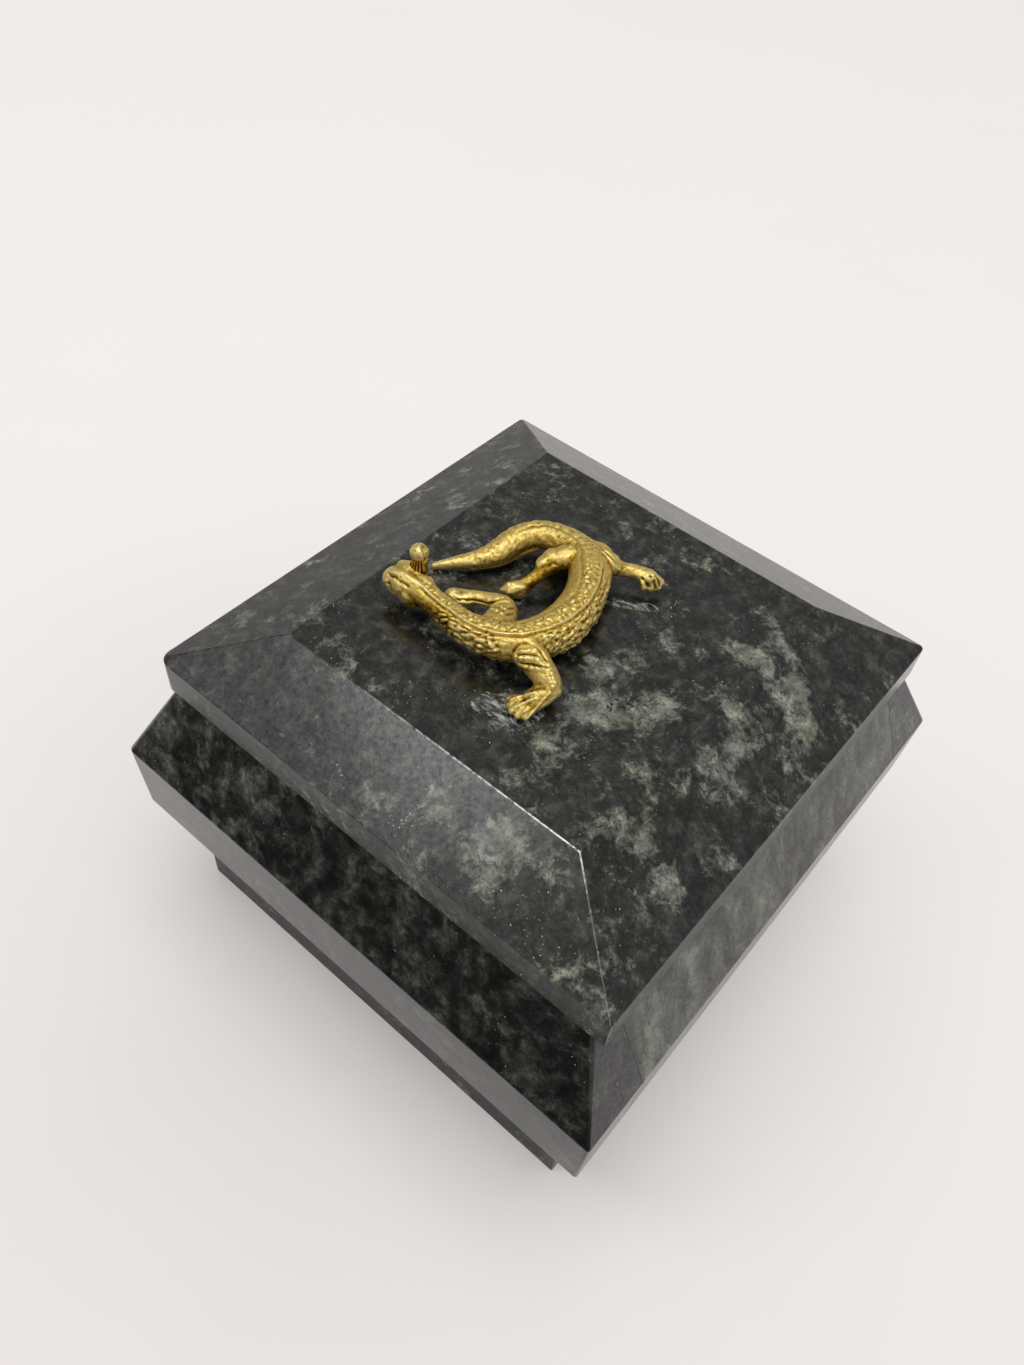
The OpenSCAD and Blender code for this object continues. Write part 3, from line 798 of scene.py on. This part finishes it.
def line_distance(place, points):
    """How far each vertex is from a smooth line through the points."""
    line = route(points, LIMB_STEPS + 1)
    far = np.full(len(place), FAR)
    near = ((place > line.min(0) - LINE_REACH) & (place < line.max(0) + LINE_REACH)).all(1)
    close = place[near]
    best = far[near]
    for one, two in zip(line, line[1:]):
        along = two - one
        share = np.clip((close - one) @ along / (along @ along), 0, 1)
        best = np.minimum(best, np.linalg.norm(close - one - share[:, None] * along, axis=1))
    far[near] = best
    return far


def round_spine(place):
    """Where each point lies on the trunk: station along the spine's points, millimetres along it, angle up
    from the outer side, reach, which is 1 on the trunk's plain skin, and the trunk's mean radius there."""
    steps = 12
    rows = route(SPINE, steps)
    ahead, side, up = headings(rows)
    length = np.concatenate([[0], np.cumsum(np.linalg.norm(np.diff(rows[:, :3], axis=0), axis=1))])
    found = np.concatenate([
        np.linalg.norm(part[:, None] - rows[None, :, :3], axis=2).argmin(1)
        for part in np.array_split(place, max(1, len(place) // 4000))
    ])
    away = place - rows[found, :3]
    ahead_by = (away * ahead[found]).sum(1)
    out = (away * side[found]).sum(1)
    rise = (away * up[found]).sum(1)
    angle = np.degrees(np.arctan2(rise / rows[found, 4], out / rows[found, 3]))
    reach = np.hypot(rise / rows[found, 4], out / rows[found, 3])
    girth = (rows[found, 3] + rows[found, 4]) / 2
    return found / steps, length[found] + ahead_by, angle, reach, girth


def scales(across, down, jitter):
    """Rounded scales in staggered rows, one unit apart: 0 in the grooves between them, up to 1 on top."""
    chance = np.random.default_rng(SCALE_SEED).random((SCALE_TABLE, SCALE_TABLE, 3)) - 0.5
    first = np.full(len(across), FAR)
    second = np.full(len(across), FAR)
    height = np.zeros(len(across))
    for row in (np.floor(down) + k for k in (-1, 0, 1)):
        offset = 0.5 * (row % 2)
        for column in (np.floor(across - offset) + k for k in (-1, 0, 1)):
            drawn = chance[column.astype(int) % SCALE_TABLE, row.astype(int) % SCALE_TABLE]
            dx = across - column - offset - 0.5 - jitter * drawn[:, 0]
            dy = down - row - 0.5 - jitter * drawn[:, 1]
            far = np.hypot(dx, dy)
            height = np.where(far < first, 0.75 + 0.5 * drawn[:, 2], height)
            second = np.minimum(second, np.maximum(first, far))
            first = np.minimum(first, far)
    return height * smoothstep(0.0, 0.5, second - first) * (1 - 0.5 * smoothstep(0.0, 0.7, first))


def window(value, low, high, soft):
    """1 between low and high, fading out over soft on both sides."""
    return smoothstep(low - soft, low, value) * (1 - smoothstep(high, high + soft, value))


def unevenness(place, size):
    """Smooth chance ups and downs of the casting's skin, about size apart, in three directions."""
    return np.array([noise.noise_vector(p) for p in (place / size).tolist()])


def knobs(along, up, size):
    """Chance knobs and pits on the flank, about size apart and longer along their slant."""
    spots = np.column_stack([along - 0.6 * up, 1.6 * up, np.zeros(len(up))]) / size
    return np.array([noise.noise(p) for p in spots.tolist()])


def trunk_relief(place):
    """How far the skin of the trunk and tail stands out: the ridge, the band on the back and the scales."""
    station, along, angle, reach, girth = round_spine(place)
    wander = unevenness(place, 1.7)
    skin = 1 - smoothstep(1.10, 1.35, reach)
    rises = []
    for line in (BACK_RIDGE, BACK_GROOVE):
        line_station, _, line_angle, _, _ = round_spine(np.array(line))
        rises.append(np.radians(angle - np.interp(station, line_station, line_angle)) * girth)
    up, to_groove = rises[0], -rises[1]
    run = window(station, *RIDGE_RUN)
    grooved = window(station, *GROOVE_RUN)
    near = up + 0.10 * wander[:, 0]
    relief = run * (0.18 * np.exp(-(near / 0.17) ** 2) - 0.15 * np.exp(-((near + 0.40) / 0.26) ** 2))
    relief -= 0.13 * grooved * np.exp(-((to_groove + 0.15 * wander[:, 1]) / 0.32) ** 2)
    # The band between the ridge and the groove, with small worn beads
    band = run * smoothstep(0.2, 0.5, up)
    band *= np.where(station > FLANK_RUN[0], smoothstep(0.1, 0.4, to_groove), 1 - smoothstep(2.2, 2.8, up))
    beads = scales((along + 0.3 * wander[:, 0]) / 1.05, (up + 0.4 * wander[:, 1]) / 0.95, 1.0)
    relief += band * (0.19 * (beads - 0.4) + 0.07 * unevenness(place, 0.45)[:, 2])
    # Uneven nodular scales on the flank, larger and slanted on the neck
    flank = smoothstep(0.5, 0.9, -up) * smoothstep(-110, -75, angle)
    neck = flank * window(station, *NECK_RUN)
    rolled = scales((along - 0.7 * up + 0.5 * wander[:, 2]) / 1.6, (up + 0.4 * wander[:, 1]) / 1.25, 0.6)
    relief += neck * (0.36 * (rolled - 0.4) + 0.20 * knobs(along, up, 1.0))
    trunk = flank * window(station, *FLANK_RUN)
    nodules = scales((along - 0.4 * up + 0.8 * wander[:, 0]) / 1.25, (up + 0.7 * wander[:, 2]) / 1.0, 1.0)
    relief += trunk * (0.26 * (nodules - 0.4) + 0.34 * knobs(along, up, 1.1) + 0.18 * knobs(along, up, 0.5))
    # A dented tail
    tail = window(station, *TAIL_RUN) * smoothstep(0.0, 40, angle)
    dents = unevenness(place, 1.1)
    return skin * (relief + tail * (0.09 * dents[:, 0] + 0.08 * unevenness(place, 0.75)[:, 1]))


def chased_relief(place):
    """How far the chased lines and rows of lumps on the head and legs stand out."""
    lines = HEAD_LINES + LEG_LINES + [[points, *CREST_GROOVE] for points in crest_grooves()]
    for points, height, width in HEAD_LINES:
        lines.append([[[x, 2 * HEAD_MIDDLE - y, z] for x, y, z in points], height, width])
    rise = np.zeros(len(place))
    cut = np.zeros(len(place))
    for points, height, width in lines:
        step = height * np.exp(-(line_distance(place, points) / width) ** 2)
        rise = np.maximum(rise, step)
        cut = np.minimum(cut, step)
    for first, last, number, height, width in LUMP_ROWS:
        for spot in np.linspace(first, last, number):
            step = height * np.exp(-(np.linalg.norm(place - spot, axis=1) / width) ** 2)
            rise = np.maximum(rise, step)
            cut = np.minimum(cut, step)
    return rise + cut


def lizard():
    """The casting with its chased lines and scales."""
    noise.seed_set(SKIN_SEED)
    bm = cast_form()
    place, normal = skin_of(bm)
    relief = trunk_relief(place) + chased_relief(place)
    for size, height, way in CAST_UNEVEN:
        relief += height * unevenness(place, size)[:, way]
    for v, n, r in zip(bm.verts, normal, relief):
        v.co += Vector(n) * r
    cut_off(bm, GLUE_T)
    bm.verts.index_update()
    place, normal = skin_of(bm)
    pairs = np.array([[e.verts[0].index, e.verts[1].index] for e in bm.edges])
    count = np.bincount(pairs.ravel(), minlength=len(place))
    lay = place
    for _ in range(LAY_SMOOTHINGS):
        lay = neighbour_mean(lay, pairs, count)
    patina_and_shade = HOLLOW_BROWN * ((lay - place) * normal).sum(1)
    # Patina on the crest's stalk, never rubbed; painted shade on the undersides, the throat, the shank and
    # next to the stone
    off_stalk = np.hypot(place[:, 0] - CREST_AT[0], place[:, 1] - CREST_AT[1])
    patina_and_shade += STALK_BROWN * (off_stalk < 1.25 * STALK_R) * window(place[:, 2] - CREST_AT[2], 0.2, 2.0, 0.4)
    patina_and_shade += UNDER_PAINTED_SHADE * smoothstep(0.0, 0.6, -normal[:, 2])
    patina_and_shade += LOW_PAINTED_SHADE * (1 - smoothstep(0.4, 1.4, place[:, 2]))
    for line in (NECK_SHADE, SHANK_SHADE):
        patina_and_shade += SHADE_BROWN * np.exp(-(line_distance(place, line) / SHADE_R) ** 2)
    layer = bm.verts.layers.float.new("patina_and_shade")
    for v, h in zip(bm.verts, np.clip(PLAIN_BROWN + patina_and_shade, 0, 1)):
        v[layer] = h
    bmesh.ops.translate(bm, vec=(0, 0, FLAT_Z), verts=bm.verts)
    new_piece("cast_lizard", bm, new_material(cast_brass), "lid", ["lizard"])


lizard()


# Glue

# How deep the glue is let into the polish, how ragged its edges are, and over what size
GLUE_BED = 0.03
GLUE_RAGGED = 0.3
GLUE_RAG = 1.3
# Blobs under the feet and the tail's tip, and smears that the feet left:
# x, y, half length, half width, turn, bloom
GLUE_SPOTS = [
    [6.4, -18.9, 4.4, 3.4, 0.3, 0.0], [3.6, -20.4, 3.4, 2.4, 0.8, 0.0], [7.4, -22.0, 2.6, 1.2, 0.5, -0.02],
    [-15.0, -8.6, 1.6, 1.3, 0.2, 0.0], [-8.6, -1.6, 2.0, 1.4, 0.4, 0.0], [-21.8, -5.4, 1.3, 0.9, 0.7, 0.0],
    [6.6, 10.6, 3.4, 0.8, 0.5, 0.05], [8.8, 12.4, 1.7, 0.7, 0.2, 0.05], [4.2, 9.2, 2.0, 1.2, 0.6, -0.02],
]


def hazy_set_glue(draw, coords):
    """Clear glue that has set with a whitish bloom in streaks and specks; the stone shows through it."""
    # Streaks of about 2 by 0.7 mm, the way that the feet were pushed
    pushed = draw("Mapping", {
        "Vector": coords, "Rotation": (0, 0, -2.2), "Scale": (0.5 / MM, 1.4 / MM, 1 / MM),
    })
    streaks = draw("TexNoise", {
        "Vector": pushed, "Scale": 1.0, "Detail": 6.0, "Roughness": 0.72, "Distortion": 0.5,
    })
    more = draw("Attribute", attribute_name="bloom").outputs["Fac"]
    bloom = draw("Math", {0: streaks, 1: more}, operation="ADD")
    tone = draw("ValToRGB", {"Fac": bloom}, stops=[(0.45, "#8f928d"), (0.68, "#dcdedb")])
    veil = draw("MapRange", {"Value": bloom}, span=(0.46, 0.72, 0.0, 0.8))
    return draw("BsdfPrincipled", {"Base Color": tone, "Alpha": veil, "Roughness": 0.35, "IOR": 1.48})


def glue_smears():
    """Thin spread blobs of glue with uneven edges, let into the polish by a hair."""
    bm = bmesh.new()
    bloom = bm.verts.layers.float.new("bloom")
    for x, y, length, width, turn, more in GLUE_SPOTS:
        matrix = Matrix.Translation((x, y, FLAT_Z)) @ Matrix.Rotation(turn, 4, "Z")
        matrix = matrix @ Matrix.Diagonal((length, width, GLUE_T, 1))
        made = bmesh.ops.create_icosphere(bm, subdivisions=4, radius=1.0, matrix=matrix)
        for v in made["verts"]:
            v[bloom] = more
            spread = 1 + GLUE_RAGGED * noise.noise(v.co / GLUE_RAG)
            v.co.xy = (x + spread * (v.co.x - x), y + spread * (v.co.y - y))
    cut_off(bm, FLAT_Z - GLUE_BED)
    new_piece("glue_smears", bm, new_material(hazy_set_glue), "lid", ["lizard_glue"])


glue_smears()


# Stage, camera and light

def white_board(draw, coords):
    """Smooth white board, matte, with a faint unevenness. To the camera and to mirrors it has a painted glow
    of its own, and it still takes the shadow."""
    mottle = draw("TexNoise", {"Vector": coords, "Scale": 1 / 0.06, "Detail": 2.0})
    tone = draw("ValToRGB", {"Fac": mottle}, stops=[(0.3, "#f1edec"), (0.7, "#f4f0ef")])
    board = draw("BsdfPrincipled", {"Base Color": tone, "Roughness": 0.9})
    glow = draw("Emission", {"Color": linear("#faf5f4"), "Strength": 1.0})
    rays = draw("LightPath").outputs
    mirrors = draw("Math", {0: rays["Is Glossy Ray"], 1: rays["Is Transmission Ray"]}, operation="MAXIMUM")
    # The painted glow fades towards the box, and to mirrors along its front
    spot = draw("SeparateXYZ", {"Vector": coords}).outputs
    off = draw("VectorMath", {0: coords, 1: (-0.02, -0.03, 0.0)}, operation="DISTANCE")
    spread = draw("MapRange", {"Value": off}, span=(0.035, 0.13, 0.18, 0.55))
    aside = draw("Math", {0: spot["X"], 1: spot["Y"]}, operation="ADD")
    right = draw("MapRange", {"Value": aside}, span=(-0.01, 0.02))
    mirrored = draw("Math", {0: mirrors, 1: right}, operation="MULTIPLY")
    eyes = draw("Math", {0: rays["Is Camera Ray"], 1: mirrored}, operation="MAXIMUM")
    # The painted glow is stronger behind the box
    back = draw("VectorMath", {0: coords, 1: (-0.58, 0.81, 0.0)}, operation="DOT_PRODUCT")
    behind = draw("MapRange", {"Value": back}, span=(-0.1, 0.12, -0.07, 0.13))
    whole = draw("Math", {0: spread, 1: behind}, operation="ADD")
    share = draw("Math", {0: eyes, 1: whole}, operation="MULTIPLY")
    return draw("MixShader", {"Fac": share, 1: board, 2: glow})


def painted_dark_reflection(draw, coords):
    """Painted dark reflection: a matte dark card that pales towards the box."""
    spot = draw("SeparateXYZ", {"Vector": coords}).outputs
    askew = draw("Math", {0: spot["X"], 1: -0.12, 2: spot["Y"]}, operation="MULTIPLY_ADD")
    near = draw("MapRange", {"Value": askew}, span=(-0.135, -0.052))
    tone = draw("ValToRGB", {"Fac": near}, stops=[
        (0.0, "#141414"), (0.50, "#807e7c"), (0.71, "#b8b6b4"), (0.92, "#fdf9f8"),
    ])
    return draw("BsdfPrincipled", {"Base Color": tone, "Roughness": 0.9})


def stage_sheet(name, low, high, z, material):
    """A flat stage sheet between two corners."""
    bm = bmesh.new()
    bmesh.ops.create_grid(bm, x_segments=2, y_segments=2, size=0.5)
    bmesh.ops.scale(bm, vec=(high[0] - low[0], high[1] - low[1], 1), verts=bm.verts)
    bmesh.ops.translate(bm, vec=((low[0] + high[0]) / 2, (low[1] + high[1]) / 2, z), verts=bm.verts)
    sheet = new_object(name, bm)
    sheet.data.materials.append(material)
    return sheet


# The sheets lie a hair off the table's plane, in metres
FLOOR_Z = -0.0001
CARD_Z = 0.0004

stage_sheet("floor", (-2.0, -2.0), (2.0, 2.0), FLOOR_Z, new_material(white_board))
# A dark card that only the polish sees, a painted dark reflection: it keeps the front slope dark
mirror_only_dark_card = stage_sheet("mirror_only_dark_card", (-0.6, -0.5), (0.35, -0.052), CARD_Z, new_material(painted_dark_reflection))
for rays in ("camera", "diffuse", "shadow", "transmission"):
    setattr(mirror_only_dark_card, "visible_" + rays, False)

CAMERA_AT = (0.063386, -0.100376, 0.193240)
CAMERA_RIGHT = (0.7613, 0.6445, 0.0706)
CAMERA_DOWN = (0.5274, -0.5523, -0.6456)
CAMERA_AHEAD = (-0.3771, 0.5287, -0.7604)
CAMERA_LENS = 28.199
CAMERA_SENSOR = 36
CAMERA_NEAR = 0.01

camera_data = bpy.data.cameras.new("camera")
camera_data.lens = CAMERA_LENS
camera_data.sensor_width = CAMERA_SENSOR
camera = bpy.data.objects.new("camera", camera_data)
turn = Matrix((CAMERA_RIGHT, [-d for d in CAMERA_DOWN], [-a for a in CAMERA_AHEAD])).transposed()
camera.matrix_world = Matrix.Translation(CAMERA_AT) @ turn.to_4x4()
camera_data.clip_start = CAMERA_NEAR
bpy.context.scene.collection.objects.link(camera)
bpy.context.scene.camera = camera


def soft_lamp(name, at, aim, size, watts):
    """A rectangular soft lamp that looks at a point."""
    data = bpy.data.lights.new(name, "AREA")
    data.shape = "RECTANGLE"
    data.size, data.size_y = size
    data.energy = watts
    lamp = bpy.data.objects.new(name, data)
    lamp.location = at
    lamp.rotation_mode = "QUATERNION"
    lamp.rotation_quaternion = (Vector(aim) - Vector(at)).to_track_quat("-Z", "Y")
    bpy.context.scene.collection.objects.link(lamp)


LID_TOP = (0, 0, 0.07)
soft_lamp("front_left_screen", (-0.678, -0.599, 0.748), LID_TOP, (0.35, 0.25), 0.19)
soft_lamp("front_left_lamp", (-0.44, -0.46, 1.01), LID_TOP, (0.36, 0.36), 1.6)
soft_lamp("overhead_lamp", (0.06, -0.02, 1.17), LID_TOP, (0.8, 0.8), 5.6)

world = bpy.data.worlds.new("pale_room")
world.use_nodes = True
world.node_tree.nodes.clear()
draw = partial(add, world.node_tree)
rays = draw("LightPath").outputs
around = draw("TexCoord").outputs["Generated"]
compass = draw("SeparateXYZ", {"Vector": around}).outputs
walls = draw("ValToRGB", {"Fac": compass["Z"]}, stops=[(0.0, "#c6c3c2"), (0.35, "#b2b0af")])
# A dark gap in the room on the left, which draws the lid's left edges
gap = draw("VectorMath", {0: around, 1: (-0.9, 0.05, 0.42)}, operation="DISTANCE")
shade = draw("MapRange", {"Value": gap}, span=(0.15, 0.4))
sided = draw("Mix", {0: shade, 6: linear("#2c2c2c"), 7: walls}, data_type="RGBA")
seen = draw("Mix", {0: rays["Is Camera Ray"], 6: sided, 7: linear("#f3efee")}, data_type="RGBA")
glow = draw("Background", {"Color": seen, "Strength": 1.0})
draw("OutputWorld", {"Surface": glow})
bpy.context.scene.world = world

bpy.context.scene.view_settings.view_transform = "Standard"
